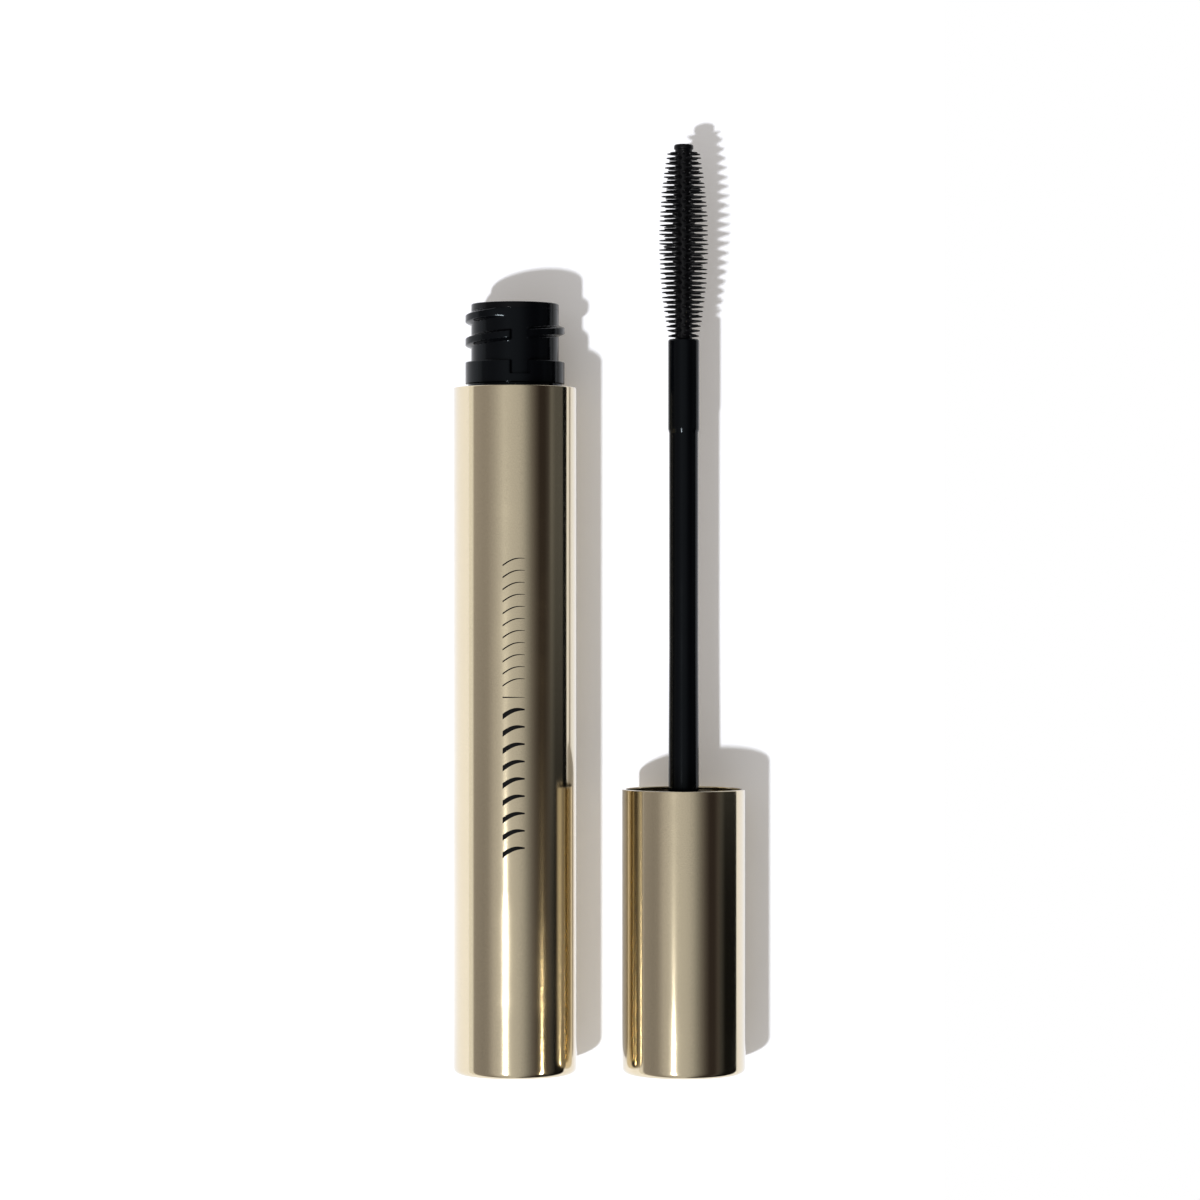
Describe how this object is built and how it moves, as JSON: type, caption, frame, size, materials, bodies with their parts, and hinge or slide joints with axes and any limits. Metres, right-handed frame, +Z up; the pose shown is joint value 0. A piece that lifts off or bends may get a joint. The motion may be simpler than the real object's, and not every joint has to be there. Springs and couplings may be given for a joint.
{
  "type": "mascara tube with wand",
  "caption": "Slim round metal mascara tube lying open beside its wand: threaded plastic neck with a wiper, capped rod with a tapering moulded brush.",
  "frame": {"origin": "centre of the tube's closed base, on the tube's axis", "axes": "+Y along the tube from its base to its neck, +X towards the wand that lies beside it, +Z up from the table"},
  "size_m": [0.0378, 0.1197, 0.016],
  "materials": {
    "anodised_metal": "satin champagne-gold anodised",
    "label": "blank clear-white film",
    "foam": "moulded spacer",
    "black_plastic": "glossy moulded",
    "wiper_rubber": "soft moulded",
    "mascara": "wet paste",
    "steel": "turned",
    "cap_plastic": "glossy moulded",
    "washer_foam": "closed-cell",
    "rod_plastic": "glossy moulded",
    "brush_plastic": "satin moulded",
    "tine_rubber": "soft moulded"
  },
  "bodies": {
    "bottle": {"outer_shell": "anodised_metal", "base_label": "label", "base_pad": "foam", "inner_bottle": "black_plastic", "wiper": "wiper_rubber", "mascara_formula": "mascara"},
    "turned_wand": {"core_wire": "steel"},
    "inserted_wand": {"cap_weight": "steel"},
    "advanced_wand": {"seal_washer": "washer_foam"},
    "wand": {"cap_shell": "anodised_metal", "inner_cap": "cap_plastic", "rod": "rod_plastic", "brush_core": "brush_plastic", "brush_tines": "tine_rubber"}
  },
  "joints": [
    {"name": "wand_turn_over", "type": "hinge", "parent": "bottle", "child": "turned_wand", "pos_m": [0.01087, 0.1099, 0], "axis": [0, 0, 1], "range_deg": [0, 180]},
    {"name": "wand_insert", "type": "slide", "parent": "turned_wand", "child": "inserted_wand", "axis": [0, 1, 0], "range_m": [0, 0.09025], "deforming": ["brush_tines"]},
    {"name": "cap_advance", "type": "slide", "parent": "inserted_wand", "child": "advanced_wand", "axis": [0, 1, 0], "range_m": [0, 0.0045]},
    {"name": "cap_turn", "type": "hinge", "parent": "advanced_wand", "child": "wand", "pos_m": [0.02175, 0, 0], "axis": [0, 1, 0], "range_deg": [0, 540]}
  ],
  "couplings": [
    {"joint": "cap_advance", "follows": "cap_turn", "m_per_rad": 0.00047746}
  ]
}
